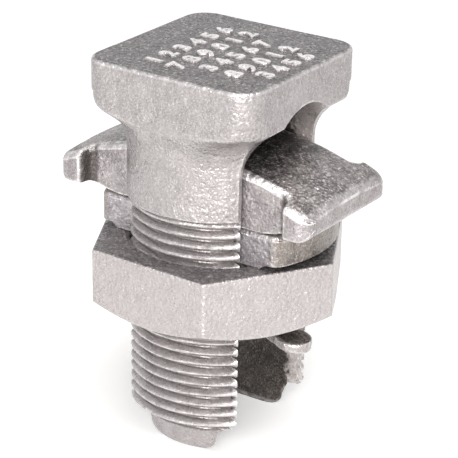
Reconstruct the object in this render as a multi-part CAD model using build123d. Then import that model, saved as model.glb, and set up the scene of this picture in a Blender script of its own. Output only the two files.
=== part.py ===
from build123d import *
import math
import os

# Split-bolt cable connector. The origin is midway between the two leg tips, +Z runs up the bolt axis
# and the conductors lie along X. All sizes are millimetres.

# Thread, from which the legs, the nut and the travel follow
thread_diameter = 25.4
thread_pitch = 25.4 / 16
overall_height = 56.8

# Split bolt
head_width_x = 27.5
head_width_y = 28.1
head_corner_radius = 3.6
head_edge_bevel = 0.5
shank_diameter = 26.6
flare_start_height = 44.2
flare_hollow_radius = 5.5
flare_round_radius = 2.2
flare_turn = 65
flare_margin = 0.2
thread_top_height = 35.4
thread_bevel = 0.4
slot_width = 17.2
saddle_centre_height = 43.0
side_flat_half = 9.3
side_hollow_start = 42.8
side_hollow_radius = 7.6
pilot_diameter = 21.0
pilot_taper = 0.5
pilot_height = 4.5
pilot_tip_radius = 1.3

# Hex nut
nut_across_flats = 33.3
nut_height = 9.5
nut_top_height = 30.15
nut_turned = -2.3
nut_chamfer_diameter = 32.6
nut_chamfer_slope = 30
nut_mouth_diameter = 27.0
nut_bore_clearance = 0.05

# Pressure bar
bar_width = 16.4
bar_thickness = 5.15
bar_end_radius = 16.7
bar_pad_length = 24.4
bar_end_relief = 0.6
bar_edge_bevel = 0.6

# Retaining tongues, bent out under the nut
tongue_thickness = 1.6
tongue_root_width = 5.6
tongue_tip_width = 5.2
tongue_outer_face = 8.6
tongue_bend_height = 20.0
tongue_bend_radius = 2.6
tongue_bend = 84
tongue_reach = 15.3

# Spacer bar
spacer_height = 9.4
spacer_crown_radius = 52.5
spacer_cross_radius = 80
spacer_foot_half = 11.5
spacer_foot_rise = 1.15
spacer_top_bevel = 0.6
ear_span = 21.0
ear_inner_face = 16.5
ear_outer_face = 20.8
ear_keel_radius = 1.6
ear_corner_radius = 2.1
ear_root_radius = 1.2

thread_radius = thread_diameter / 2
nut_bottom_height = nut_top_height - nut_height
bar_top_height = nut_top_height + bar_thickness


def along_bolt(radius, height):
    """Point of a section in the XZ plane."""
    return (radius, 0, height)


def turned_on_arc(centre, radius, degrees):
    """Point on an arc in the XZ plane, with the angle counted up from +X."""
    angle = math.radians(degrees)
    return along_bolt(centre[0] + radius * math.cos(angle), centre[1] + radius * math.sin(angle))


def flared_stem():
    """Round stem: pilot tip, thread blank, shank, and the flare under the square head."""
    shank_radius = shank_diameter / 2
    pilot_radius = pilot_diameter / 2
    tip_centre = (pilot_radius - pilot_taper - pilot_tip_radius, pilot_tip_radius)
    tip_start = turned_on_arc(tip_centre, pilot_tip_radius, -90)
    tip_middle = turned_on_arc(tip_centre, pilot_tip_radius, -45)
    tip_end = turned_on_arc(tip_centre, pilot_tip_radius, 0)
    corner_reach = flare_margin + head_corner_radius + math.hypot(
        head_width_x / 2 - head_corner_radius, head_width_y / 2 - head_corner_radius)
    hollow_centre = (shank_radius + flare_hollow_radius, flare_start_height)
    hollow_start = turned_on_arc(hollow_centre, flare_hollow_radius, 180)
    hollow_middle = turned_on_arc(hollow_centre, flare_hollow_radius, 180 - flare_turn / 2)
    hollow_end = turned_on_arc(hollow_centre, flare_hollow_radius, 180 - flare_turn)
    round_radius = corner_reach - flare_round_radius
    slope_run = round_radius + flare_round_radius * math.cos(math.radians(flare_turn)) - hollow_end[0]
    slope_rise = slope_run / math.tan(math.radians(flare_turn))
    round_centre = (round_radius,
                    hollow_end[2] + slope_rise + flare_round_radius * math.sin(math.radians(flare_turn)))
    round_start = turned_on_arc(round_centre, flare_round_radius, -flare_turn)
    round_middle = turned_on_arc(round_centre, flare_round_radius, -flare_turn / 2)
    round_end = turned_on_arc(round_centre, flare_round_radius, 0)
    outline = [
        Line(along_bolt(0, 0), tip_start),
        ThreePointArc(tip_start, tip_middle, tip_end),
        Polyline(tip_end, along_bolt(pilot_radius, pilot_height),
                 along_bolt(thread_radius - thread_bevel, pilot_height),
                 along_bolt(thread_radius, pilot_height + thread_bevel),
                 along_bolt(thread_radius, thread_top_height - thread_pitch / 2),
                 along_bolt(shank_radius, thread_top_height), hollow_start),
        ThreePointArc(hollow_start, hollow_middle, hollow_end),
        Line(hollow_end, round_start),
        ThreePointArc(round_start, round_middle, round_end),
        Polyline(round_end, along_bolt(corner_reach, overall_height), along_bolt(0, overall_height),
                 along_bolt(0, 0)),
    ]
    return revolve(make_face(outline), Axis.Z)


def conductor_slot():
    """Slot through the bolt along X, closed at its top by the full-round saddle."""
    length = 2 * head_width_x
    upright = Pos(0, 0, saddle_centre_height / 2) * Box(length, slot_width, saddle_centre_height)
    saddle = Pos(0, 0, saddle_centre_height) * Rot(0, 90, 0) * Cylinder(slot_width / 2, length)
    return upright + saddle


def side_outline():
    """Section along the conductors: flats beside the slot, hollowed out to the ledge under the head."""
    hollow_centre = (side_flat_half + side_hollow_radius, side_hollow_start)
    hollow_end = turned_on_arc(hollow_centre, side_hollow_radius, 90)
    right = [
        Polyline(along_bolt(0, 0), along_bolt(side_flat_half, 0), along_bolt(side_flat_half, side_hollow_start)),
        ThreePointArc(along_bolt(side_flat_half, side_hollow_start),
                      turned_on_arc(hollow_centre, side_hollow_radius, 135), hollow_end),
        Polyline(hollow_end, along_bolt(hollow_end[0], overall_height), along_bolt(0, overall_height)),
    ]
    return make_face(right + [mirror(line, Plane.YZ) for line in right])


def split_bolt():
    """One forging: square head, flare, and two threaded legs with pilot tips."""
    outline = RectangleRounded(head_width_x, head_width_y, head_corner_radius)
    block = extrude(outline, overall_height)
    block = chamfer(block.faces().sort_by(Axis.Z)[-1].edges(), head_edge_bevel)
    trim = extrude(side_outline(), head_width_y, both=True)
    return (block & flared_stem() & trim) - conductor_slot()


def hex_nut():
    """Hex nut with a flat top, a chamfered foot and countersunk bore mouths."""
    bore_radius = thread_radius + nut_bore_clearance
    mouth_radius = nut_mouth_diameter / 2
    mouth_depth = mouth_radius - bore_radius
    corner = nut_across_flats / math.sqrt(3)
    beyond = corner + 1
    foot_radius = nut_chamfer_diameter / 2
    foot_rise = (beyond - foot_radius) * math.tan(math.radians(nut_chamfer_slope))
    low = nut_bottom_height
    high = nut_top_height
    section = Polyline(along_bolt(bore_radius, low + mouth_depth), along_bolt(mouth_radius, low),
                       along_bolt(foot_radius, low), along_bolt(beyond, low + foot_rise),
                       along_bolt(beyond, high), along_bolt(mouth_radius, high),
                       along_bolt(bore_radius, high - mouth_depth), close=True)
    hexagon = Rot(0, 0, nut_turned) * RegularPolygon(corner, 6)
    block = Pos(0, 0, low) * extrude(hexagon, nut_height)
    return block & revolve(make_face(section), Axis.Z)


def tongue():
    """Strap down through the nut, bent outwards below it and rounded at its tip."""
    centre = (tongue_outer_face + tongue_bend_radius, tongue_bend_height)
    under = tongue_bend_radius + tongue_thickness
    start = 180
    end = 180 + tongue_bend
    upper_start = turned_on_arc(centre, tongue_bend_radius, start)
    upper_end = turned_on_arc(centre, tongue_bend_radius, end)
    lower_start = turned_on_arc(centre, under, start)
    lower_end = turned_on_arc(centre, under, end)
    run = (tongue_reach - upper_end[0]) / math.sin(math.radians(tongue_bend))
    step = Vector(math.sin(math.radians(tongue_bend)), 0, -math.cos(math.radians(tongue_bend))) * run
    upper_tip = Vector(upper_end) + step
    lower_tip = Vector(lower_end) + step
    root_height = nut_top_height + bar_end_relief
    section = make_face([
        Line(along_bolt(tongue_outer_face, root_height), upper_start),
        ThreePointArc(upper_start, turned_on_arc(centre, tongue_bend_radius, start + tongue_bend / 2), upper_end),
        Polyline(upper_end, upper_tip, lower_tip, lower_end),
        ThreePointArc(lower_end, turned_on_arc(centre, under, start + tongue_bend / 2), lower_start),
        Polyline(lower_start, along_bolt(tongue_outer_face - tongue_thickness, root_height),
                 along_bolt(tongue_outer_face, root_height)),
    ])
    strip = extrude(section, tongue_root_width, both=True)
    tip_radius = tongue_tip_width / 2
    tip_start = tongue_reach - tip_radius
    plan = make_face([
        Polyline((tip_start, tip_radius), (tongue_outer_face, tongue_root_width / 2), (0, tongue_root_width / 2),
                 (0, -tongue_root_width / 2), (tongue_outer_face, -tongue_root_width / 2),
                 (tip_start, -tip_radius)),
        ThreePointArc((tip_start, -tip_radius), (tongue_reach, 0), (tip_start, tip_radius)),
    ])
    return strip & extrude(plan, nut_top_height + bar_end_relief)


def pressure_bar():
    """Bar that the nut pushes up the slot, with the two tongues that keep the nut on it."""
    plan = Circle(bar_end_radius) & Rectangle(4 * bar_end_radius, bar_width)
    slab = Pos(0, 0, nut_top_height) * extrude(plan, bar_thickness)
    slab = chamfer(slab.faces().sort_by(Axis.Z)[-1].edges(), bar_edge_bevel)
    relief = Box(2 * bar_end_radius, 2 * bar_end_radius, bar_end_relief, align=(Align.MIN, Align.CENTER, Align.MIN))
    right = Pos(bar_pad_length / 2, 0, nut_top_height) * relief
    left = mirror(right, Plane.YZ)
    strap = tongue()
    return slab - right - left + strap + mirror(strap, Plane.YZ)


def spacer_plan():
    """Plan of the spacer: a bar that fits the slot, with an ear across each end."""
    bar_half = bar_width / 2
    ears = [Pos(side * (ear_inner_face + ear_outer_face) / 2, 0) * Rectangle(ear_outer_face - ear_inner_face, ear_span)
            for side in (-1, 1)]
    plan = Rectangle(2 * ear_inner_face, bar_width) + ears
    roots = [corner for corner in plan.vertices() if abs(abs(corner.Y) - bar_half) < 0.01]
    plan = fillet(roots, ear_root_radius)
    ends = [corner for corner in plan.vertices() if abs(abs(corner.X) - ear_outer_face) < 0.01]
    return fillet(ends, ear_corner_radius)


def spacer_bar():
    """Crowned spacer: flat foot on the pressure bar, lifted towards the ears."""
    foot = bar_top_height
    top = foot + spacer_height
    keel = foot + spacer_foot_rise
    ear_flat = ear_outer_face - ear_keel_radius
    foot_middle = ((spacer_foot_half + ear_inner_face) / 2, foot + 0.3 * spacer_foot_rise)
    right = [
        Line(along_bolt(0, foot), along_bolt(spacer_foot_half, foot)),
        ThreePointArc(along_bolt(spacer_foot_half, foot), along_bolt(*foot_middle), along_bolt(ear_inner_face, keel)),
        Line(along_bolt(ear_inner_face, keel), along_bolt(ear_flat, keel)),
        ThreePointArc(along_bolt(ear_flat, keel),
                      turned_on_arc((ear_flat, keel + ear_keel_radius), ear_keel_radius, -45),
                      along_bolt(ear_outer_face, keel + ear_keel_radius)),
        Polyline(along_bolt(ear_outer_face, keel + ear_keel_radius), along_bolt(ear_outer_face, top),
                 along_bolt(0, top)),
    ]
    side = make_face(right + [mirror(line, Plane.YZ) for line in right])
    block = extrude(side, ear_span, both=True) & extrude(spacer_plan(), overall_height)
    half = ear_span
    drop = half * half / (2 * spacer_cross_radius)
    crown = make_face([
        ThreePointArc((0, -half, top - drop), (0, 0, top), (0, half, top - drop)),
        Polyline((0, half, top - drop), (0, half, top - spacer_crown_radius), (0, -half, top - spacer_crown_radius),
                 (0, -half, top - drop)),
    ])
    crown_axis = Axis((0, 0, top - spacer_crown_radius), (0, 1, 0))
    body = block & revolve(crown, crown_axis)
    return chamfer(body.faces().sort_by(Axis.Z)[-1].edges(), spacer_top_bevel)


os.makedirs("parts", exist_ok=True)
export_step(split_bolt(), "parts/split_bolt.step")
export_step(hex_nut(), "parts/hex_nut.step")
export_step(pressure_bar(), "parts/pressure_bar.step")
export_step(spacer_bar(), "parts/spacer_bar.step")
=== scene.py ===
import bmesh
import bpy
import math
import numpy as np
from mathutils import Matrix, Vector


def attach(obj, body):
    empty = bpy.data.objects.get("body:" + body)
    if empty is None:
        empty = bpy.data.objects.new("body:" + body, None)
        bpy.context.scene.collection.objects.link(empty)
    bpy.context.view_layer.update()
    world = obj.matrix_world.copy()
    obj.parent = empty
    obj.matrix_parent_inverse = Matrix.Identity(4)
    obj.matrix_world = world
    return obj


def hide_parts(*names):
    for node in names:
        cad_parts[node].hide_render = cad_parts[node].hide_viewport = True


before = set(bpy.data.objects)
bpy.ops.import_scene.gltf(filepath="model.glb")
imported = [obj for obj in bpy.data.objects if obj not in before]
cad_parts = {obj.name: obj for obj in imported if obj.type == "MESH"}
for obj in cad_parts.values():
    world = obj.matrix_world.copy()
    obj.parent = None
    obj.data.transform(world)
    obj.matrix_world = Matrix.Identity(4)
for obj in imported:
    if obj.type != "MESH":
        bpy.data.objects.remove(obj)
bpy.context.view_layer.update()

metresPerMm = 0.001  # shapes are worked out in millimetres
weldSet = {"seams": 4e-7, "slivers": 1e-8, "figures": 1e-7}  # metres
fullTurn = 2 * math.pi

threadSet = {
    "radius": 12.7, "pitch": 1.5875, "depth": 0.96,
    "phase": 0.72,  # share of a pitch by which the crest is up at angle zero
    "crestShare": 0.16, "rootShare": 0.12, "rounding": 0.18, "rowsPerPitch": 9,
}


# shared shape maths
def smoothLower(a, b, width):
    # the lower of two values, rounded over where they meet
    share = np.clip(0.5 + 0.5 * (b - a) / width, 0, 1)
    return b + (a - b) * share - width * share * (1 - share)


def smoothShare(value, low, high):
    # 0 below low, 1 above high, with a soft turn between
    t = np.clip((value - low) / (high - low), 0, 1)
    return t * t * (3 - 2 * t)


def quarterTurn(count):
    # angles from 0 to 90 degrees
    return np.radians(np.linspace(0, 90, count))


lumpWaves = [  # share of the whole, then two axes as shares of x, y, z and the seed
    (0.5, (1.7, 0.9, 0, 1), (0, 1.3, -1.1, 2)),
    (0.32, (1.9, 0, 2.9, -1), (0, 2.3, 1.7, 3)),
    (0.18, (5.1, 0, -3.7, 1), (3.1, 4.3, 0, -1)),
]


def lumps(points, scale, seed):
    # unevenness of a forging: products of two sines along turned axes, added up, about -1 to 1
    total = 0
    for share, one, two in lumpWaves:
        first = np.sin(points @ np.array(one[:3]) / scale + one[3] * seed)
        second = np.sin(points @ np.array(two[:3]) / scale + two[3] * seed)
        total = total + share * first * second
    return total


def threadDepth(angle, height):
    # how far below the crest the groove is: a 60 degree vee with a flat crest and a small flat root,
    # wound right-handed, so it climbs one pitch for each turn
    t = threadSet
    turns = height / t["pitch"] - angle / fullTurn - t["phase"]
    fromCrest = np.abs(turns - np.round(turns)) * 2
    slope = 1 - t["crestShare"] - t["rootShare"]
    share = np.clip((fromCrest - t["crestShare"]) / slope, 0, 1)
    return t["depth"] * ((1 - t["rounding"]) * share + t["rounding"] * smoothShare(share, 0, 1))


def rayToRoundedBox(angle, halfX, halfY, corner):
    # distance from the centre to a rectangle with round corners, along each angle
    c, s = np.abs(np.cos(angle)), np.abs(np.sin(angle))
    flat = np.minimum(halfX / np.maximum(c, 1e-9), halfY / np.maximum(s, 1e-9))
    cx, cy = halfX - corner, halfY - corner
    along = c * cx + s * cy
    root = np.sqrt(np.maximum(along ** 2 - (cx ** 2 + cy ** 2 - corner ** 2), 0))
    inCorner = (flat * c > cx) & (flat * s > cy)
    return np.where(inCorner, along + root, flat)


def rayToRoundedHexagon(angle, apothem, corner):
    # distance from the centre to a hexagon with round corners, flats first
    step = math.pi / 3
    off = np.abs((angle % step) - step / 2)
    flat = apothem / np.cos(off)
    reach = (apothem - corner) / math.cos(step / 2)
    fromCorner = step / 2 - off
    bend = math.atan((apothem - corner) * math.tan(step / 2) / apothem)
    root = np.sqrt(np.maximum(corner ** 2 - (reach * np.sin(fromCorner)) ** 2, 0))
    return np.where(off > bend, reach * np.cos(fromCorner) + root, flat)


def nearEdges(low, high, step, fine, fewest=6):
    # places from low to high, crowded at both ends
    count = max(int((high - low) / step), fewest)
    crowded = (1 - np.cos(np.linspace(0, math.pi, count))) / 2
    even = np.linspace(0, 1, count)
    return low + (high - low) * (fine * crowded + (1 - fine) * even)


# meshes
def gridFaces(rows, columns, wrapRows=False, wrapColumns=False):
    # corner numbers of the quads between neighbouring rows and columns
    r = np.arange(rows if wrapRows else rows - 1)
    c = np.arange(columns if wrapColumns else columns - 1)
    rr, cc = np.meshgrid(r, c, indexing="ij")
    up, side = (rr + 1) % rows, (cc + 1) % columns
    corners = [rr * columns + cc, rr * columns + side, up * columns + side, up * columns + cc]
    return np.stack(corners, axis=-1).reshape(-1, 4)


def tubeFaces(rows, columns):
    # quads round a tube, and one flat face over each end
    first = list(range(columns))
    last = list(range((rows - 1) * columns, rows * columns))
    return gridFaces(rows, columns, wrapColumns=True).tolist(), first, last


def newMesh(name, points, faces):
    mesh = bpy.data.meshes.new(name)
    mesh.from_pydata((points.reshape(-1, 3) * metresPerMm).tolist(), [], faces)
    return mesh


def addObject(name, data):
    holder = bpy.data.objects.new(name, data)
    bpy.context.scene.collection.objects.link(holder)
    return holder


def faceOutwards(mesh):
    work = bmesh.new()
    work.from_mesh(mesh)
    bmesh.ops.recalc_face_normals(work, faces=work.faces)
    work.to_mesh(mesh)
    work.free()


def makePiece(name, points, faces):
    # welds seams and poles and turns the faces outwards
    mesh = newMesh(name, points, faces.tolist())
    work = bmesh.new()
    work.from_mesh(mesh)
    bmesh.ops.remove_doubles(work, verts=work.verts, dist=weldSet["seams"])
    bmesh.ops.dissolve_degenerate(work, edges=work.edges, dist=weldSet["slivers"])
    if work.calc_volume(signed=True) < 0:
        bmesh.ops.reverse_faces(work, faces=work.faces)
    work.to_mesh(mesh)
    work.free()
    return addObject(name, mesh)


turnSet = {
    "sharpest": 3.0,  # radians per millimetre, where the mark is full
    "shortest": 0.08,  # millimetres, the least way between two middles that counts
}


def markTurns(piece):
    # how sharply the surface turns at each point: the angle between neighbouring faces over the way
    # between their middles, above zero on an outer edge and below zero in a groove
    mesh = piece.data
    faces = len(mesh.polygons)
    normals, centres = np.empty(faces * 3), np.empty(faces * 3)
    mesh.polygons.foreach_get("normal", normals)
    mesh.polygons.foreach_get("center", centres)
    normals, centres = normals.reshape(-1, 3), centres.reshape(-1, 3)
    corners = np.empty(faces, dtype=np.int64)
    mesh.polygons.foreach_get("loop_total", corners)
    edgeOf = np.empty(len(mesh.loops), dtype=np.int64)
    mesh.loops.foreach_get("edge_index", edgeOf)
    order = np.argsort(edgeOf, kind="stable")
    edge, face = edgeOf[order], np.repeat(np.arange(faces), corners)[order]
    shared = edge[1:] == edge[:-1]
    one, two, which = face[:-1][shared], face[1:][shared], edge[1:][shared]
    angle = np.arccos(np.clip((normals[one] * normals[two]).sum(axis=1), -1, 1))
    way = centres[two] - centres[one]
    length = np.maximum(np.linalg.norm(way, axis=1) / metresPerMm, turnSet["shortest"])
    turn = -np.sign((way * normals[one]).sum(axis=1)) * angle / length
    ends = np.empty(len(mesh.edges) * 2, dtype=np.int64)
    mesh.edges.foreach_get("vertices", ends)
    ends = ends.reshape(-1, 2)[which]
    outer, inner = np.zeros(len(mesh.vertices)), np.zeros(len(mesh.vertices))
    for column in (0, 1):
        np.maximum.at(outer, ends[:, column], turn)
        np.minimum.at(inner, ends[:, column], turn)
    value = np.where(outer > -inner, outer, inner) / turnSet["sharpest"]
    mark = mesh.attributes.new("turning", "FLOAT", "POINT")
    mark.data.foreach_set("value", np.clip(value, -1, 1))


def shadeAndMark(piece, sharpDegrees):
    piece.data.shade_smooth()
    piece.data.set_sharp_from_angle(angle=math.radians(sharpDegrees))
    markTurns(piece)


# shader nodes
def feed(tree, socket, value):
    # links a value that comes from a node, or writes a plain one; a colour gets its alpha
    if isinstance(value, bpy.types.NodeSocket):
        tree.links.new(value, socket)
    elif isinstance(value, tuple):
        socket.default_value = (*value, 1)
    else:
        socket.default_value = value


def maths(tree, operation, *values):
    node = tree.nodes.new("ShaderNodeMath")
    node.operation = operation
    for socket, value in zip(node.inputs, values):
        feed(tree, socket, value)
    return node.outputs[0]


def whenSeen(tree):
    # 1 for camera, glossy and transmission rays
    path = tree.nodes.new("ShaderNodeLightPath")
    seen = maths(tree, "MAXIMUM", path.outputs["Is Camera Ray"], path.outputs["Is Glossy Ray"])
    return maths(tree, "MAXIMUM", seen, path.outputs["Is Transmission Ray"])


def colorRamp(tree, source, low, high, lowColor, highColor):
    ramp = tree.nodes.new("ShaderNodeValToRGB")
    for stop, place, color in zip(ramp.color_ramp.elements, (low, high), (lowColor, highColor)):
        stop.position = place
        stop.color = (*color, 1)
    tree.links.new(source, ramp.inputs[0])
    return ramp.outputs["Color"]


def mixColors(tree, share, first, second, blend="MIX"):
    mix = tree.nodes.new("ShaderNodeMix")
    mix.data_type = "RGBA"
    mix.blend_type = blend
    feed(tree, mix.inputs["Factor"], share)
    feed(tree, mix.inputs[6], first)  # colour sockets A and B, and the colour output
    feed(tree, mix.inputs[7], second)
    return mix.outputs[2]


def spread(tree, source, fromLow, fromHigh, toLow=0.0, toHigh=1.0, soft=False):
    # one value carried from one range to another, kept inside it
    node = tree.nodes.new("ShaderNodeMapRange")
    if soft:
        node.interpolation_type = "SMOOTHSTEP"
    tree.links.new(source, node.inputs["Value"])
    ends = {"From Min": fromLow, "From Max": fromHigh, "To Min": toLow, "To Max": toHigh}
    for socket, value in ends.items():
        node.inputs[socket].default_value = value
    return node.outputs[0]


def noiseField(tree, place, scale, detail, roughness):
    node = tree.nodes.new("ShaderNodeTexNoise")
    node.inputs["Scale"].default_value = scale
    node.inputs["Detail"].default_value = detail
    node.inputs["Roughness"].default_value = roughness
    tree.links.new(place, node.inputs["Vector"])
    return node.outputs[0]


def axisValue(tree, source, axis):
    node = tree.nodes.new("ShaderNodeSeparateXYZ")
    tree.links.new(source, node.inputs[0])
    return node.outputs[axis]


def bumped(tree, height, strength, rise, under=None):
    node = tree.nodes.new("ShaderNodeBump")
    feed(tree, node.inputs["Strength"], strength)
    node.inputs["Distance"].default_value = rise
    tree.links.new(height, node.inputs["Height"])
    if under:
        tree.links.new(under, node.inputs["Normal"])
    return node.outputs[0]


# camera, light and floor
cameraSet = {
    "place": (0.15330, -0.22603, 0.14565), "azimuth": 33.89, "elevation": 22.907, "roll": 0.0172,
    "focalPixels": 2104.68, "picturePixels": 458, "sensor": 36.0, "clip": (0.01, 10.0),
}


def setCamera():
    p = cameraSet
    azimuth, elevation = math.radians(p["azimuth"]), math.radians(p["elevation"])
    back = Vector((math.sin(azimuth) * math.cos(elevation), -math.cos(azimuth) * math.cos(elevation),
                   math.sin(elevation)))
    right = Vector((math.cos(azimuth), math.sin(azimuth), 0))
    up = back.cross(right)
    across = math.cos(p["roll"]) * right + math.sin(p["roll"]) * up
    upright = -math.sin(p["roll"]) * right + math.cos(p["roll"]) * up
    data = bpy.data.cameras.new("photoCamera")
    data.sensor_width = p["sensor"]
    data.lens = p["focalPixels"] * p["sensor"] / p["picturePixels"]
    data.clip_start, data.clip_end = p["clip"]
    pose = Matrix((across, upright, back)).transposed().to_4x4()
    pose.translation = Vector(p["place"])
    camera = addObject("photoCamera", data)
    camera.matrix_world = pose
    bpy.context.scene.camera = camera


lampTarget = (0, 0, 0.03)
lampSet = {
    "frontKey": {"place": (0.25, -0.52, 0.27), "size": 0.34, "watts": 4.0, "color": (1.0, 0.99, 0.985)},
    "rightFill": {"place": (0.55, -0.20, 0.20), "size": 0.34, "watts": 0.2, "color": (1.0, 0.95, 0.91)},
    "topSoft": {"place": (0.14, -0.10, 0.60), "size": 0.36, "watts": 2.6, "color": (1.0, 0.99, 0.98)},
}


def setLamps():
    for name, lamp in lampSet.items():
        data = bpy.data.lights.new(name, "AREA")
        data.shape = "SQUARE"
        data.size = lamp["size"]
        data.energy = lamp["watts"]
        data.color = lamp["color"]
        holder = addObject(name, data)
        holder.location = lamp["place"]
        away = Vector(lamp["place"]) - Vector(lampTarget)
        holder.rotation_euler = away.to_track_quat("Z", "Y").to_euler()


worldSet = {"ambient": 0.08, "ambientColor": (1.0, 0.985, 0.97), "shown": 1.0, "shownColor": (1.0, 1.0, 1.0)}


def setWorld():
    # a dim warm room for the light, and white where the room itself is seen
    world = bpy.data.worlds.new("paleRoom")
    world.use_nodes = True
    tree = world.node_tree
    tree.nodes.clear()
    mix = tree.nodes.new("ShaderNodeMixShader")
    tree.links.new(whenSeen(tree), mix.inputs[0])
    for place, part in ((1, "ambient"), (2, "shown")):
        side = tree.nodes.new("ShaderNodeBackground")
        feed(tree, side.inputs["Color"], worldSet[part + "Color"])
        feed(tree, side.inputs["Strength"], worldSet[part])
        tree.links.new(side.outputs[0], mix.inputs[place])
    out = tree.nodes.new("ShaderNodeOutputWorld")
    tree.links.new(mix.outputs[0], out.inputs[0])
    bpy.context.scene.world = world


floorSet = {
    "half": 3.0, "color": (0.95, 0.948, 0.945), "rough": 0.9,
    "lift": 0.4, "farLift": 0.85, "near": 0.35, "far": 1.4,  # lift to white, and where it starts and is full
}


def setFloor():
    # pale sheet; seen by the camera or in metal it is lifted to white, more so far away where the lamps
    # fade, and it keeps the shadow
    p = floorSet
    corners = [(-p["half"], -p["half"], 0), (p["half"], -p["half"], 0), (p["half"], p["half"], 0),
               (-p["half"], p["half"], 0)]
    mesh = bpy.data.meshes.new("floor")
    mesh.from_pydata(corners, [], [(0, 1, 2, 3)])
    floor = addObject("floor", mesh)
    material = bpy.data.materials.new("paleFloor")
    material.use_nodes = True
    tree = material.node_tree
    shader = tree.nodes["Principled BSDF"]
    feed(tree, shader.inputs["Base Color"], p["color"])
    shader.inputs["Roughness"].default_value = p["rough"]
    shader.inputs["Emission Color"].default_value = (1, 1, 1, 1)
    source = tree.nodes.new("ShaderNodeTexCoord")
    away = tree.nodes.new("ShaderNodeVectorMath")
    away.operation = "LENGTH"
    tree.links.new(source.outputs["Object"], away.inputs[0])
    lift = spread(tree, away.outputs["Value"], p["near"], p["far"], p["lift"], p["farLift"])
    feed(tree, shader.inputs["Emission Strength"], maths(tree, "MULTIPLY", whenSeen(tree), lift))
    mesh.materials.append(material)


# metal finishes
finishSet = {  # noises as scale, detail and roughness; spans as low and high; blends and rises in metres
    "mottle": (420.0, 4.0, 0.6), "grain": (4200.0, 3.0, 0.65), "coarse": (2300.0, 3.0, 0.75),
    "patches": (800.0, 3.0, 0.65), "peel": (1900.0, 2.0, 0.5),
    "mottleSpan": (0.34, 0.66), "grainSpan": (0.36, 0.66), "roughSpan": (0.3, 0.7), "wanderSpan": (0.3, 0.7),
    "upSpan": (0.5, 0.95), "topBlend": 0.0002, "crowdedSpan": (0.38, 0.6),
    "grooveSpan": (-0.5, -0.05), "edgeFrom": 0.12, "edgePatches": (0.4, 0.6, 0.35, 1.0),
    "nookRise": 0.0007, "nookFall": 0.0004, "turnedBlend": 0.0012,
    "sandRise": 0.0001, "peelRise": 0.0003,
}


def grained(tree, mottle, grain, dark, light, span):
    # slow change from dark to light, times a fine grain
    low, high = span
    tint = colorRamp(tree, mottle, *finishSet["mottleSpan"], dark, light)
    fine = colorRamp(tree, grain, *finishSet["grainSpan"], (low,) * 3, (high,) * 3)
    return mixColors(tree, 1.0, tint, fine, "MULTIPLY")


def farAlong(tree, place):
    # distance from the middle along the conductors
    return maths(tree, "ABSOLUTE", axisValue(tree, place, "X"))


def endShare(tree, place, patches, look):
    # 0 in the middle and 1 towards both ends along the conductors, with a wandering border
    wander = spread(tree, patches, *finishSet["wanderSpan"], -look["endsWander"], look["endsWander"])
    reach = maths(tree, "ADD", farAlong(tree, place), wander)
    return spread(tree, reach, look["endsFrom"], look["endsTo"], soft=True)


def nookShare(tree, place, upward, look):
    # share of painted shade: full in the hollow between the bar and each ear, none away from it or on what
    # looks up
    start, end = look["nookFrom"], look["nookTo"]
    far = farAlong(tree, place)
    rise = spread(tree, far, start, start + finishSet["nookRise"], soft=True)
    fall = spread(tree, far, end - finishSet["nookFall"], end, 1.0, 0.0, soft=True)
    between = maths(tree, "MULTIPLY", rise, fall)
    return maths(tree, "MULTIPLY", between, spread(tree, upward, 0, 1, look["nookShare"], 0.0))


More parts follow.
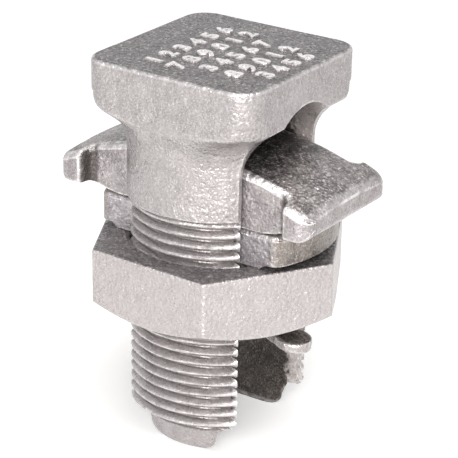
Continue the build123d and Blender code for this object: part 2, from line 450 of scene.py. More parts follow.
def forgedMetal(name, look):
    # tin-plated forging: mottled grey times a fine grain, painted darker and coarser where it looks up as
    # painted shade, with painted glints as patches of bright flecks, painted highlights on edges and painted
    # shade in grooves
    p = finishSet
    material = bpy.data.materials.new(name)
    material.use_nodes = True
    tree = material.node_tree
    shader = tree.nodes["Principled BSDF"]
    source = tree.nodes.new("ShaderNodeTexCoord")
    place = source.outputs["Object"]
    mottle, grain, coarse, patches, peel = (
        noiseField(tree, place, *p[field]) for field in ("mottle", "grain", "coarse", "patches", "peel"))
    height = axisValue(tree, place, "Z")
    # painted shade: faces that look up, above a given height, are coloured darker, standing in for the dim
    # light from above
    facing = spread(tree, axisValue(tree, source.outputs["Normal"], "Z"), *p["upSpan"], soft=True)
    high = spread(tree, height, look["topFrom"], look["topFrom"] + p["topBlend"])
    upward = maths(tree, "MULTIPLY", facing, high)
    sides = grained(tree, mottle, grain, look["dark"], look["light"], look["grain"])
    paintedTops = grained(tree, mottle, coarse, look["paintedTopDark"], look["paintedTopLight"], look["topGrain"])
    # painted shadow: the middle of the spacer's top is darker where the head shades it
    if "middle" in look:
        paintedTops = mixColors(tree, endShare(tree, place, patches, look["middleSpan"]), look["middle"], paintedTops)
    color = mixColors(tree, upward, sides, paintedTops)
    # painted light and shade towards the ends along the conductors: lighter on the slot walls near the mouths
    # where light reaches in, darker on the pressure bar's ends in the spacer's shadow
    if "ends" in look:
        ends = grained(tree, mottle, grain, look["ends"], look["endsLight"], look["endsGrain"])
        color = mixColors(tree, endShare(tree, place, patches, look), color, ends)
    # painted glints: bright flecks in patches, bolder on faces that look up
    crowded = spread(tree, patches, *p["crowdedSpan"], look["glintEven"], 1.0)
    fine = maths(tree, "MULTIPLY", spread(tree, grain, *look["glintSpan"]), crowded)
    color = mixColors(tree, maths(tree, "MULTIPLY", fine, look["glintShare"]), color, look["glint"])
    bold = maths(tree, "MULTIPLY", spread(tree, coarse, *look["topGlintSpan"]), crowded)
    bold = maths(tree, "MULTIPLY", bold, spread(tree, upward, 0, 1, 0.0, look["topGlintShare"]))
    color = mixColors(tree, bold, color, look["glint"])
    turning = tree.nodes.new("ShaderNodeAttribute")
    turning.attribute_name = "turning"
    # painted shade: darker in grooves and hollows
    groove = spread(tree, turning.outputs["Fac"], *p["grooveSpan"], look["grooveShare"], 0.0)
    color = mixColors(tree, groove, color, look["groove"])
    # painted highlight: brighter along outer edges, in patches
    edge = spread(tree, turning.outputs["Fac"], p["edgeFrom"], look["edgeFull"], 0.0, look["edgeShare"])
    edge = maths(tree, "MULTIPLY", edge, spread(tree, patches, *p["edgePatches"]))
    color = mixColors(tree, edge, color, look["edge"])
    # painted shade in the hollow between the bar and each ear
    if "nook" in look:
        color = mixColors(tree, nookShare(tree, place, upward, look), color, look["nook"])
    tree.links.new(color, shader.inputs["Base Color"])
    shader.inputs["Metallic"].default_value = look["metallic"]
    tree.links.new(spread(tree, mottle, *p["roughSpan"], *look["rough"]), shader.inputs["Roughness"])
    relief = look["peel"]
    if "turnedBelow" in look:  # smoother where the thread was cut
        start = look["turnedBelow"]
        relief = spread(tree, height, start, start + p["turnedBlend"], look["turnedPeel"], look["peel"])
    sanded = bumped(tree, grain, look["sand"], p["sandRise"])
    tree.links.new(bumped(tree, peel, relief, p["peelRise"], sanded), shader.inputs["Normal"])
    return material


plainLook = {  # what the forgings start from
    "dark": (0.345, 0.321, 0.321), "light": (0.425, 0.396, 0.396), "grain": (0.88, 1.12),
    # the top colours are painted shade for faces that look up; the bright flecks are painted glints, the edge
    # colour a painted highlight and the groove colour painted shade
    "paintedTopDark": (0.055, 0.048, 0.05), "paintedTopLight": (0.12, 0.106, 0.11), "topGrain": (0.4, 2.2),
    "topFrom": 0.056,
    "glint": (0.9, 0.87, 0.87), "glintSpan": (0.52, 0.7), "glintEven": 0.2, "glintShare": 0.45,
    "topGlintSpan": (0.54, 0.66), "topGlintShare": 0.65,
    "edge": (0.88, 0.85, 0.85), "edgeShare": 0.42, "edgeFull": 0.55,
    "groove": (0.13, 0.112, 0.104), "grooveShare": 0.6,
    "metallic": 0.6, "rough": (0.22, 0.34), "sand": 0.5, "peel": 0.8,
}


# split bolt
boltLook = dict(plainLook, turnedBelow=0.0354, turnedPeel=0.3)
# the slot's walls are painted dark as painted shade inside the slot, and lighter near the mouths as painted
# light where light reaches in
slotLook = dict(
    plainLook, dark=(0.028, 0.023, 0.02), light=(0.1, 0.084, 0.072), grain=(0.5, 1.6),
    paintedTopDark=(0.03, 0.026, 0.022), paintedTopLight=(0.06, 0.052, 0.045), glintShare=0.25, edgeShare=0.3,
    ends=(0.55, 0.5, 0.48), endsLight=(0.72, 0.67, 0.65), endsGrain=(0.85, 1.1),
    endsFrom=0.0060, endsTo=0.0070, endsWander=0.0008)

boltSet = {
    "headHalfX": 13.7, "headHalfY": 14.0, "headCorner": 3.6, "headEdge": 0.5, "faceTop": 56.56,
    "shankRadius": 13.3, "hollowCentre": (18.8, 44.2), "hollowRadius": 5.5,
    "slopeFrom": 49.185, "slopeTo": 49.387, "slopeRadius": 16.476, "slopeRun": 2.14,
    "roundCentre": (15.98, 51.38), "roundRadius": 2.2, "clearing": 1.5,
    "threadTop": 35.35, "runOut": 0.75, "threadFoot": 4.5, "footRadius": 12.3, "fadeFrom": 9.3, "fadeTo": 8.7,
    "cornerReach": 7.4, "cornerHeight": 1.5, "hair": 0.01, "leastCosine": 1e-3, "sameHeight": 1e-6,
    "faceBlend": 2.3, "cornerBlend": 1.2, "leastBlend": 0.02, "blendFrom": 43.5, "blendTo": 47.5,
    "sideFlat": 9.3, "sideHollowStart": 42.8, "sideHollowRadius": 7.6, "sideBlend": 0.12, "farOut": 60.0,
    "pilotTopRadius": 10.8, "pilotLowRadius": 10.3, "pilotStep": 0.2, "tipRadius": 1.6, "tipHeight": 2.4,
    "uneven": 0.05, "lumps": (2.6, 1.3), "smoothBelow": 36.0, "smoothShare": 0.25,
    "topUneven": 0.03, "topLumps": (1.7, 5.2), "topFade": 30, "sharp": 30,
}
boltGrid = {
    "legEnds": (42.0, 138.0), "legSteps": 108, "gapSteps": 46, "crownRows": 40, "arcRows": 7, "pilotRows": 6,
    "plainRows": (37.3, 41.5, 8), "flareRows": (41.5, 51.6, 46), "wallFrom": 52.1, "wallRows": 8,
    "threadOver": 1.9, "tipFlat": 0.8,
}
slotSet = {
    "half": 8.6, "saddleHeight": 43.0, "mouthLength": 2.2, "mouthFlare": 0.15, "mouthDeepest": 1.3,
    "coarseTo": 6.0, "fineTo": 16.0, "past": (18.0, 22.0), "low": -3.0, "wallTurn": 40.0, "lumps": (2.2, 4.1),
    "coarseSteps": 9, "fineSteps": 60, "wallSteps": 44, "upperSteps": 8, "archSteps": 60,
}


def flareRadius(height):
    # round stem above the thread: shank, hollow arc, short slope, round arc, then the head is clear of it
    p = boltSet
    hx, hz = p["hollowCentre"]
    rx, rz = p["roundCentre"]
    hollow = hx - np.sqrt(np.maximum(p["hollowRadius"] ** 2 - (height - hz) ** 2, 0))
    slope = p["slopeRadius"] + (height - p["slopeFrom"]) * p["slopeRun"]
    bulge = rx + np.sqrt(np.maximum(p["roundRadius"] ** 2 - (height - rz) ** 2, 0))
    above = rx + p["roundRadius"] + p["clearing"] * (height - rz) ** 2
    radius = np.where(height < hz, p["shankRadius"], hollow)
    radius = np.where(height > p["slopeFrom"], slope, radius)
    radius = np.where(height > p["slopeTo"], bulge, radius)
    return np.where(height > rz, above, radius)


def sideReach(height):
    # how far the body goes along the conductors: flats beside the slot, hollowed out under the head and
    # rounded at the foot of the thread
    p = boltSet
    rise = np.maximum(height - p["sideHollowStart"], 0)
    inside = np.maximum(p["sideHollowRadius"] ** 2 - rise ** 2, 0)
    reach = p["sideFlat"] + p["sideHollowRadius"] - np.sqrt(inside)
    above = height - p["threadFoot"]
    low = np.clip(1 - above / p["cornerHeight"], 0, 1)
    foot = p["sideFlat"] - (p["sideFlat"] - p["cornerReach"]) * (1 - np.sqrt(1 - low ** 2))
    reach = np.where((above > -p["hair"]) & (above < p["cornerHeight"]), foot, reach)
    return np.where(reach > p["headHalfX"], p["farOut"], reach)


def boltRows():
    # stations from the middle of the head over its edge, down the outside and in under the tips: for each
    # its height, share of the radius, inset of the round edge, and the largest radius there
    p, g, t = boltSet, boltGrid, threadSet
    top, edge, foot, tip = p["faceTop"], p["headEdge"], p["threadFoot"], p["tipHeight"]
    low, high, free = p["pilotLowRadius"], p["pilotTopRadius"], p["farOut"]
    crown = np.linspace(0, 1, g["crownRows"])[:-1]
    bend = quarterTurn(g["arcRows"])
    under = bend[1:]
    wall = np.linspace(g["wallFrom"], top - edge, g["wallRows"])[:-1]
    body = np.concatenate([np.linspace(*g["plainRows"])[:-1], np.linspace(*g["flareRows"]), wall])
    thread = np.arange(foot, p["threadTop"] + g["threadOver"], t["pitch"] / t["rowsPerPitch"])
    ledge = np.linspace(p["footRadius"], high, g["pilotRows"])[1:]
    pilot = np.linspace(foot - p["pilotStep"], tip, g["pilotRows"])
    flat = np.linspace(g["tipFlat"], 0, g["pilotRows"])
    blocks = [
        (np.full(len(crown), top), crown, edge, free),
        (top - edge * (1 - np.cos(bend)), 1, edge * (1 - np.sin(bend)), free),
        (body[::-1], 1, 0, free),
        (thread[::-1], 1, 0, free),
        (np.full(len(ledge), foot), 1, 0, ledge),
        (pilot, 1, 0, low + (high - low) * (pilot - tip) / (foot - tip)),
        (tip * (1 - np.sin(under)), 1, 0, low - p["tipRadius"] * (1 - np.cos(under))),
        (np.zeros(len(flat)), 1, 0, (low - p["tipRadius"]) * flat),
    ]
    return np.concatenate([np.stack(np.broadcast_arrays(*block), axis=-1) for block in blocks]).T


def boltSkin():
    # radius as a function of angle and station: the lowest of the square head, the round stem and the side
    # flats, less the thread's groove, which fades out on the flats
    p, g, t = boltSet, boltGrid, threadSet
    heights, share, inset, largest = boltRows()
    share, inset, largest = share[:, None], inset[:, None], largest[:, None]
    leg = np.radians(np.linspace(*g["legEnds"], g["legSteps"]))
    gap = np.radians(np.linspace(-g["legEnds"][0], g["legEnds"][0], g["gapSteps"])[1:-1])
    angles = np.concatenate([gap, leg, gap + math.pi, leg + math.pi])
    a, z = np.meshgrid(angles, heights)
    threadEnd = p["threadTop"] + t["pitch"] * (a % fullTurn) / fullTurn
    threaded = 1 - smoothShare(z, threadEnd - p["runOut"], threadEnd)
    blank = np.minimum(t["radius"], p["footRadius"] + np.maximum(z - p["threadFoot"], 0))
    fade = np.clip((t["radius"] * np.abs(np.sin(a)) - p["fadeTo"]) / (p["fadeFrom"] - p["fadeTo"]), 0, 1)
    legRadius = np.minimum(t["radius"] - threadDepth(a, z) * fade, blank)
    stem = np.minimum(flareRadius(z) * (1 - threaded) + legRadius * threaded, largest)
    box = rayToRoundedBox(a, p["headHalfX"], p["headHalfY"], p["headCorner"])
    blend = p["faceBlend"] + (p["cornerBlend"] - p["faceBlend"]) * np.abs(np.sin(2 * a))
    blend = np.maximum(blend * smoothShare(z, p["blendFrom"], p["blendTo"]), p["leastBlend"])
    radius = smoothLower(stem, box, blend)
    side = sideReach(z) / np.maximum(np.abs(np.cos(a)), p["leastCosine"])
    radius = np.where(side < p["farOut"], smoothLower(radius, side, p["sideBlend"]), radius)
    radius = share * (radius - inset)
    points = np.stack([radius * np.cos(a), radius * np.sin(a), z], axis=-1)
    onTop = z > p["faceTop"] - p["sameHeight"]
    calm = np.where(z > p["smoothBelow"], 1.0, p["smoothShare"])
    swell = np.where(onTop, 0, p["uneven"] * lumps(points, *p["lumps"]) * calm)
    points[..., 0] += swell * np.cos(a)
    points[..., 1] += swell * np.sin(a)
    rise = p["topUneven"] * lumps(points, *p["topLumps"]) * (1 - share ** p["topFade"])
    points[..., 2] += np.where(onTop, rise, 0)
    return points, gridFaces(len(heights), len(angles), wrapColumns=True)


def slotCutter():
    # U profile carried along the conductors, with walls that open a little at the mouths
    p = slotSet
    w, top = p["half"], p["saddleHeight"]
    coarse = np.linspace(0, p["coarseTo"], p["coarseSteps"])[:-1]
    mouth = np.concatenate([coarse, np.linspace(p["coarseTo"], p["fineTo"], p["fineSteps"]), p["past"]])
    stations = np.concatenate([-mouth[::-1], mouth[1:]])
    upper = np.linspace(p["wallTurn"], top, p["upperSteps"])[1:]
    wall = np.concatenate([np.linspace(p["low"], p["wallTurn"], p["wallSteps"]), upper])
    arch = np.linspace(0, math.pi, p["archSteps"])[1:-1]
    one = np.ones(len(wall))
    normalY = np.concatenate([-one, -np.cos(arch), one])
    normalZ = np.concatenate([0 * one, np.sin(arch), 0 * one])
    x, y = np.meshgrid(stations, w * normalY, indexing="ij")
    z = np.concatenate([wall, top + w * np.sin(arch), wall[::-1]])
    rim = np.minimum(sideReach(z), boltSet["headHalfX"])
    z = np.broadcast_to(z, x.shape)
    deep = np.clip((np.abs(x) - (rim - p["mouthLength"])) / p["mouthLength"], 0, p["mouthDeepest"])
    wave = boltSet["uneven"] * lumps(np.stack([x, y, z], axis=-1), *p["lumps"])
    grow = p["mouthFlare"] * deep ** 2 + wave
    points = np.stack([x, y + grow * normalY, z + grow * normalZ], axis=-1)
    faces, first, last = tubeFaces(*x.shape)
    return points, faces + [first, last[::-1]]


def makeSplitBolt():
    bolt = makePiece("splitBoltForging", *boltSkin())
    cutter = addObject("slotCutter", newMesh("slotCutter", *slotCutter()))
    faceOutwards(cutter.data)
    bolt.data.materials.append(forgedMetal("tinnedBolt", boltLook))
    cutter.data.materials.append(forgedMetal("slotWall", slotLook))
    cut = bolt.modifiers.new("slot", "BOOLEAN")
    cut.operation = "DIFFERENCE"
    cut.solver = "EXACT"
    cut.material_mode = "TRANSFER"
    cut.object = cutter
    bpy.context.view_layer.update()
    done = bpy.data.meshes.new_from_object(bolt.evaluated_get(bpy.context.evaluated_depsgraph_get()))
    bolt.modifiers.clear()
    bolt.data = done
    bpy.data.objects.remove(cutter)
    shadeAndMark(bolt, boltSet["sharp"])
    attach(bolt, "split_bolt")
    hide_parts("split_bolt")
    print("split bolt", len(done.polygons), "faces")


# plain figures on the head
# the figures are painted near white, brightest on top: painted highlight where the raised figures catch the
# light
figureLook = dict(
    plainLook, paintedTopDark=(0.75, 0.72, 0.72), paintedTopLight=(0.95, 0.93, 0.93), topGrain=(0.75, 1.2),
    dark=(0.6, 0.57, 0.57), light=(0.75, 0.72, 0.72), groove=(0.5, 0.47, 0.47))

figureSet = {
    "size": 3.5, "thicken": 0.15, "rise": 0.22, "sink": 0.2, "curveSteps": 3, "sharp": 30,
    "rows": [(-4.8, -9.1, 3.3, "123456"), (-1.0, -9.2, 3.4, "789012"), (3.0, -7.4, 3.2, "34567"),
             (7.0, -7.5, 3.3, "89012"), (10.6, -5.3, 3.2, "3456")],  # row's x, first y, step, figures
}


def figureMesh(character):
    # outline of one figure, thickened and raised, flat on z = 0 before it is placed
    p = figureSet
    curve = bpy.data.curves.new("figure", "FONT")
    curve.body = character
    curve.size = p["size"] * metresPerMm
    curve.align_x, curve.align_y = "CENTER", "CENTER"
    curve.offset = p["thicken"] * metresPerMm
    curve.extrude = (p["rise"] + p["sink"]) / 2 * metresPerMm
    curve.resolution_u = p["curveSteps"]
    holder = addObject("figure", curve)
    bpy.context.view_layer.update()
    mesh = bpy.data.meshes.new_from_object(holder.evaluated_get(bpy.context.evaluated_depsgraph_get()))
    bpy.data.objects.remove(holder)
    return mesh


def makeFigures():
    # each figure reads along +y with its top towards -x: (x, y) of the outline goes to (-y, x)
    p = figureSet
    middle = boltSet["faceTop"] + (p["rise"] - p["sink"]) / 2
    work = bmesh.new()
    for rowX, firstY, step, text in p["rows"]:
        for index, character in enumerate(text):
            mesh = figureMesh(character)
            place = np.empty(len(mesh.vertices) * 3)
            mesh.vertices.foreach_get("co", place)
            x, y, z = place.reshape(-1, 3).T
            centre = np.array([rowX, firstY + index * step, middle]) * metresPerMm
            moved = np.stack([-y, x, z], axis=-1) + centre
            mesh.vertices.foreach_set("co", moved.ravel())
            work.from_mesh(mesh)
            bpy.data.meshes.remove(mesh)
    bmesh.ops.remove_doubles(work, verts=work.verts, dist=weldSet["figures"])
    bmesh.ops.recalc_face_normals(work, faces=work.faces)
    whole = bpy.data.meshes.new("headFigures")
    work.to_mesh(whole)
    work.free()
    figures = addObject("headFigures", whole)
    shadeAndMark(figures, p["sharp"])
    whole.materials.append(forgedMetal("brightFigures", figureLook))
    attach(figures, "split_bolt")
    print("figures on the head", len(whole.polygons), "faces")


# hex nut
# the nut's top is painted darker as painted shade
nutLook = dict(
    plainLook, dark=(0.43, 0.398, 0.395), light=(0.475, 0.441, 0.436), grain=(0.93, 1.07),
    paintedTopDark=(0.14, 0.127, 0.13), paintedTopLight=(0.2, 0.182, 0.185), topGrain=(0.7, 1.5), topFrom=0.0299,
    glintShare=0.25, topGlintShare=0.45, edgeShare=0.1, peel=0.85, sand=0.7)

nutSet = {
    "apothem": 16.65, "cornerRadius": 0.45, "low": 20.65, "high": 30.15, "turned": -2.3,
    "boreRadius": 12.72, "mouthRadius": 13.5, "footRadius": 16.3, "footSlope": 30.0, "topEdge": 0.3,
    "threadRoom": 0.1,  # play over the bolt's crests
    "threadShare": 0.85,  # height of the nut's ridge as a share of the bolt's groove
    "uneven": 0.025, "lumps": (2.1, 2.2), "smoothInside": 14.2, "boreInset": 0.3,
    "sideSteps": 40, "sideCrowding": 0.75, "wallStep": 0.06, "wallCrowding": 0.5,
    "mouthRows": 6, "chamferRows": 5, "edgeRows": 5, "topRows": 10, "sharp": 32,
}


def nutSkin():
    # closed section turned round the axis, as radius and height at each angle: threaded bore, lower mouth,
    # foot, chamfer, flats, round top edge, top and upper mouth
    p, t = nutSet, threadSet
    low, high, mouth, foot, edge = p["low"], p["high"], p["mouthRadius"], p["footRadius"], p["topEdge"]
    sector = math.pi / 3
    side = nearEdges(0, sector, sector / p["sideSteps"], p["sideCrowding"])[:-1]
    angles = np.concatenate([side + k * sector for k in range(6)])
    hexagon = rayToRoundedHexagon(angles, p["apothem"], p["cornerRadius"])
    a = angles + math.radians(p["turned"])
    rowStep = t["pitch"] / t["rowsPerPitch"]
    boreZ = np.arange(low + p["boreInset"], high - p["boreInset"], rowStep)[::-1, None]
    thread = p["boreRadius"] + p["threadRoom"] - threadDepth(a, boreZ) * p["threadShare"]
    opening = mouth - np.minimum(boreZ - low, high - boreZ)
    chamferTop = low + (hexagon - foot) * math.tan(math.radians(p["footSlope"]))
    mouthShare = np.linspace(0, 1, p["mouthRows"])[:, None]
    chamferShare = np.linspace(0, 1, p["chamferRows"])[1:, None]
    wallShare = nearEdges(0, 1, p["wallStep"], p["wallCrowding"])[1:-1, None]
    bend = quarterTurn(p["edgeRows"])[:, None]
    topShare = np.linspace(0, 1, p["topRows"])[1:, None]
    rim = hexagon - edge
    blocks = [
        (np.maximum(thread, opening), boreZ),
        (mouth + mouthShare * (foot - mouth), low),
        (foot + chamferShare * (hexagon - foot), low + chamferShare * (chamferTop - low)),
        (hexagon, chamferTop + wallShare * (high - edge - chamferTop)),
        (hexagon - edge * (1 - np.cos(bend)), high - edge * (1 - np.sin(bend))),
        (rim + topShare * (mouth - rim), high),
    ]
    section = np.concatenate([np.stack(np.broadcast_arrays(*block, a), axis=-1) for block in blocks])
    radius, z, a = np.moveaxis(section, -1, 0)
    points = np.stack([radius * np.cos(a), radius * np.sin(a), z], axis=-1)
    swell = p["uneven"] * lumps(points, *p["lumps"]) * (radius > p["smoothInside"])
    points[..., 0] += swell * np.cos(a)
    points[..., 1] += swell * np.sin(a)
    return points, gridFaces(*radius.shape, wrapRows=True, wrapColumns=True)


def makeNut():
    nut = makePiece("hexNut", *nutSkin())
    shadeAndMark(nut, nutSet["sharp"])
    nut.data.materials.append(forgedMetal("tinnedNut", nutLook))
    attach(nut, "hex_nut")
    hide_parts("hex_nut")
    print("hex nut", len(nut.data.polygons), "faces")


# bars in general
slabSet = {"acrossSteps": 60, "outlineSteps": 700, "endSteps": 40, "wallSteps": 9}


def outlineDistance(x, y, outlineX, outlineY):
    # distance of each point to the plan's outline
    gap = (x[..., None] - outlineX) ** 2 + (np.abs(y)[..., None] - outlineY) ** 2
    return np.sqrt(gap.min(axis=-1))


def edgeDrop(distance, radius):
    # how far a round edge has fallen at that distance from the outline
    inside = np.clip(radius - distance, 0, radius)
    return radius - np.sqrt(np.maximum(radius ** 2 - inside ** 2, 0))


def mirrorStations(right):
    # the same stations the other way along x
    left = right[::-1] * np.array([-1.0, 1.0])
    return np.concatenate([left, right])


def planLumps(x, y, scale, seed):
    return lumps(np.stack([x, y, 0 * x], axis=-1), scale, seed)


def slabSkin(outline, topHeight, bottomHeight, topRadius, bottomRadius):
    # plan half-width as stations along x; top and bottom are heights over the plan with round edges
    p, count = slabSet, slabSet["acrossSteps"]
    xs, ws = outline.T
    x = np.repeat(xs[:, None], count, axis=1)
    y = ws[:, None] * np.cos(np.linspace(0, math.pi, count))
    station, fine = np.linspace(0, 1, len(xs)), np.linspace(0, 1, p["outlineSteps"])
    end = np.linspace(0, 1, p["endSteps"])
    outX = np.concatenate([np.interp(fine, station, xs), np.full(len(end), xs[0]), np.full(len(end), xs[-1])])
    outY = np.concatenate([np.interp(fine, station, ws), end * ws[0], end * ws[-1]])
    away = outlineDistance(x, y, outX, outY)
    away[:, [0, -1]] = 0
    away[[0, -1], :] = 0
    upper = np.stack([x, y, topHeight(x, y) - edgeDrop(away, topRadius)], axis=-1)
    under = np.stack([x, y, bottomHeight(x, y) + edgeDrop(away, bottomRadius)], axis=-1)[:, ::-1]
    fall = np.linspace(0, 1, p["wallSteps"])[None, 1:-1, None]
    wallOne = upper[:, -1:] * (1 - fall) + under[:, :1] * fall
    wallTwo = under[:, -1:] * (1 - fall) + upper[:, :1] * fall
    loop = np.concatenate([upper, wallOne, under, wallTwo], axis=1)
    around = loop.shape[1]
    across = np.arange(count - 1)
    below = 2 * count + fall.size - 1 - across  # point of the underside below each one above
    first = np.stack([across, below, below - 1, across + 1], axis=-1)
    last = first[:, ::-1] + (len(xs) - 1) * around
    return loop, np.concatenate([gridFaces(len(xs), around, wrapColumns=True), first, last])


# spacer bar
# the spacer's top is painted dark as painted shade, darkest in the middle as painted shadow of the head; the
# hollows by the ears get painted shade and the edges a strong painted highlight
spacerLook = dict(
    plainLook, dark=(0.27, 0.245, 0.248), light=(0.42, 0.387, 0.388), grain=(0.8, 1.2),
    paintedTopDark=(0.1, 0.088, 0.088), paintedTopLight=(0.25, 0.223, 0.22), topGrain=(0.5, 2.0), topFrom=0.036,
    topGlintShare=0.8, glintShare=0.45, glintEven=0.1, edgeShare=0.95, edgeFull=0.36,
    nook=(0.075, 0.064, 0.058), nookFrom=0.015, nookTo=0.0171, nookShare=0.85,
    middle=(0.035, 0.031, 0.03),
    middleSpan={"endsFrom": 0.009, "endsTo": 0.0145, "endsWander": 0.0015})

spacerSet = {
    "foot": 35.3, "height": 9.4, "crownRadius": 52.5, "crossRadius": 80.0,
    "footHalf": 11.5, "footRise": 1.15, "footPower": 1.6, "keel": 1.6,
    "barHalf": 8.2, "innerFace": 16.5, "outerFace": 20.8, "earHalf": 10.5, "earCorner": 2.1,
    "innerCorner": 0.8, "faceStep": 0.03, "root": 1.2, "topEdge": 0.95, "footEdge": 0.35,
    "uneven": 0.11, "lumps": (2.0, 0.7), "barSteps": 31, "arcSteps": 9, "sharp": 40,
}


def spacerOutline():
    # half width along x: straight bar, hollow root, then the ear with its inner and outer corner round
    p = spacerSet
    up = quarterTurn(p["arcSteps"])
    rise, run = np.sin(up), 1 - np.cos(up)
    rootStart = p["innerFace"] - p["root"]
    straight = np.linspace(0, rootStart, p["barSteps"])[1:]
    bar = np.stack([straight, np.full(len(straight), p["barHalf"])], axis=-1)
    root = np.stack([rootStart + p["root"] * rise, p["barHalf"] + p["root"] * run], axis=-1)[1:]
    inner = np.stack([p["innerFace"] + p["faceStep"] + p["innerCorner"] * run,
                      p["earHalf"] - p["innerCorner"] * (1 - rise)], axis=-1)
    corner = np.stack([p["outerFace"] - p["earCorner"] * (1 - rise),
                       p["earHalf"] - p["earCorner"] * run], axis=-1)
    return mirrorStations(np.concatenate([bar, root, inner, corner]))


def spacerCrown(x, y):
    # barrel about a crosswise axis, a little crowned across
    p = spacerSet
    along = p["crownRadius"] - np.sqrt(p["crownRadius"] ** 2 - x ** 2)
    across = y ** 2 / (2 * p["crossRadius"])
    return p["foot"] + p["height"] - along - across + p["uneven"] * planLumps(x, y, *p["lumps"])


def spacerFoot(x, y):
    # flat in the middle, lifted towards the ears, with a round keel under each ear
    p = spacerSet
    lift = np.clip((np.abs(x) - p["footHalf"]) / (p["innerFace"] - p["footHalf"]), 0, 1)
    out = np.clip(np.abs(x) - (p["outerFace"] - p["keel"]), 0, p["keel"])
    return p["foot"] + p["footRise"] * lift ** p["footPower"] + edgeDrop(p["keel"] - out, p["keel"])


def makeSpacer():
    p = spacerSet
    skin = slabSkin(spacerOutline(), spacerCrown, spacerFoot, p["topEdge"], p["footEdge"])
    spacer = makePiece("spacerBar", *skin)
    shadeAndMark(spacer, p["sharp"])
    spacer.data.materials.append(forgedMetal("tinnedSpacer", spacerLook))
    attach(spacer, "spacer_bar")
    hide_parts("spacer_bar")
    print("spacer bar", len(spacer.data.polygons), "faces")


# pressure bar
# the bar's top is painted darker as painted shade, and its ends darker still as painted shadow under the
# spacer
barLook = dict(
    plainLook, dark=(0.3, 0.278, 0.292), light=(0.44, 0.408, 0.423), grain=(0.75, 1.2),
    paintedTopDark=(0.09, 0.08, 0.07), paintedTopLight=(0.16, 0.14, 0.125), topFrom=0.034, glintShare=0.5,
    ends=(0.16, 0.139, 0.124), endsLight=(0.3, 0.265, 0.24), endsGrain=(0.75, 1.25),
    endsFrom=0.0130, endsTo=0.0145, endsWander=0.0003)

barSet = {
    "low": 30.15, "thickness": 5.15, "half": 8.2, "endRadius": 16.7, "corner": 1.4,
    "arcShare": 1.25, "pureArc": 0.3,  # where the fine stations start, and the end left without blend
    "padHalf": 12.2, "padBlend": 0.5, "relief": 0.6, "topEdge": 0.8, "footEdge": 0.3,
    "uneven": 0.03, "lumps": (2.4, 3.3), "straightSteps": 30, "arcSteps": 60, "sharp": 40,
}


def barOutline():
    # half width: the lower of the straight side and the end arc, rounded where they meet
    p = barSet
    start = math.asin(p["half"] / p["endRadius"]) * p["arcShare"]
    straight = np.linspace(0, p["endRadius"] * math.cos(start), p["straightSteps"])[1:-1]
    x = np.concatenate([straight, p["endRadius"] * np.cos(np.linspace(start, 0, p["arcSteps"]))])
    endArc = np.sqrt(np.maximum(p["endRadius"] ** 2 - x ** 2, 0))
    width = smoothLower(endArc, p["half"], p["corner"])
    width = np.where(x > p["endRadius"] - p["pureArc"], endArc, width)
    return mirrorStations(np.stack([x, width], axis=-1))


def barTop(x, y):
    # flat, with the forging's unevenness below it
    p = barSet
    return p["low"] + p["thickness"] + p["uneven"] * (planLumps(x, y, *p["lumps"]) - 1)


def barFoot(x, y):
    # flat pad on the nut, cut back towards both ends
    p = barSet
    return p["low"] + p["relief"] * smoothShare(np.abs(x), p["padHalf"], p["padHalf"] + p["padBlend"])


def makeBar():
    p = barSet
    bar = makePiece("pressureBar", *slabSkin(barOutline(), barTop, barFoot, p["topEdge"], p["footEdge"]))
    shadeAndMark(bar, p["sharp"])
    bar.data.materials.append(forgedMetal("tinnedBar", barLook))
    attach(bar, "pressure_bar")
    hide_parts("pressure_bar")
    print("pressure bar", len(bar.data.polygons), "faces")


# straps of the pressure bar, bent out under the nut
# the straps' upper faces are painted darker: painted shadow under the nut
tongueLook = dict(
    plainLook, dark=(0.38, 0.35, 0.342), light=(0.46, 0.427, 0.418),
    paintedTopDark=(0.08, 0.067, 0.056), paintedTopLight=(0.14, 0.118, 0.098), topFrom=0.014, topGlintShare=0.25)

strapSet = {
    "outerFace": 8.6, "thickness": 1.6, "neckHalf": 1.8, "tipHalf": 2.6,
    "bendHeight": 20.0, "bendRadius": 2.6, "bend": 84.0, "reach": 15.3, "rootHeight": 31.0, "neckBlend": 0.5,
    "acrossPower": 0.35, "throughPower": 0.45,  # how square the section is; 1 is an ellipse
    "thinnest": 0.25, "thinning": 1.2, "leastSquare": 1e-4,
    "downSteps": 20, "bendSteps": 18, "tailStep": 0.16, "tailCrowding": 0.8, "aroundSteps": 48, "sharp": 50,
}


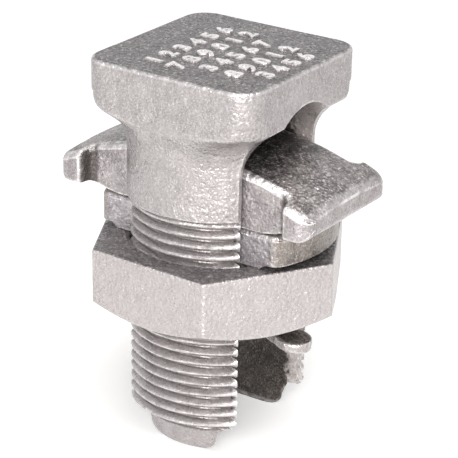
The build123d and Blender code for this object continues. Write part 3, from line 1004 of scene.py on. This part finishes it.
def strapLine():
    # middle line of the strap in the plane of the conductors: down, round the bend, then out
    p = strapSet
    middle = p["bendRadius"] + p["thickness"] / 2
    centre = (p["outerFace"] + p["bendRadius"], p["bendHeight"])
    down = np.linspace(p["rootHeight"], p["bendHeight"], p["downSteps"])[:-1]
    fall = np.stack([np.full(len(down), centre[0] - middle), down], axis=-1)
    turn = np.radians(180 + np.linspace(0, p["bend"], p["bendSteps"]))
    arc = np.stack([centre[0] + middle * np.cos(turn), centre[1] + middle * np.sin(turn)], axis=-1)
    out = math.radians(p["bend"])
    run = (p["reach"] - arc[-1, 0]) / math.sin(out)
    steps = nearEdges(0, run, p["tailStep"], p["tailCrowding"])[1:]
    tail = arc[-1] + steps[:, None] * np.array([math.sin(out), -math.cos(out)])
    return np.concatenate([fall, arc, tail])


def strapSkin(side):
    # rounded rectangle carried along the strap's middle line; the tip narrows to a half circle
    p = strapSet
    line = strapLine()
    ahead = np.gradient(line, axis=0)
    ahead /= np.linalg.norm(ahead, axis=1)[:, None]
    x, z = line[:, :1], line[:, 1:]
    off = x - (p["reach"] - p["tipHalf"])
    disc = np.sqrt(np.maximum(p["tipHalf"] ** 2 - off ** 2, p["leastSquare"]))
    width = np.where(off > 0, disc, -smoothLower(-disc, -p["neckHalf"], p["neckBlend"]))
    slim = np.minimum(p["thickness"] / 2, p["thinnest"] + width * p["thinning"])
    around = np.linspace(0, fullTurn, p["aroundSteps"], endpoint=False)
    c, s = np.cos(around), np.sin(around)
    across = width * np.sign(c) * np.abs(c) ** p["acrossPower"]
    through = slim * np.sign(s) * np.abs(s) ** p["throughPower"]
    points = np.stack([side * (x - through * ahead[:, 1:]), across, z + through * ahead[:, :1]], axis=-1)
    faces, first, last = tubeFaces(*across.shape)
    return points, faces + [first[::-1], last]


def makeTongues():
    metal = forgedMetal("tinnedTongue", tongueLook)
    for name, side in (("tongueRight", 1), ("tongueLeft", -1)):
        strap = addObject(name, newMesh(name, *strapSkin(side)))
        faceOutwards(strap.data)
        shadeAndMark(strap, strapSet["sharp"])
        strap.data.materials.append(metal)
        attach(strap, "pressure_bar")
        print(name, len(strap.data.polygons), "faces")


setCamera()
setLamps()
setWorld()
setFloor()
makeSplitBolt()
makeFigures()
makeNut()
makeSpacer()
makeBar()
makeTongues()

bpy.context.scene.view_settings.view_transform = "Standard"
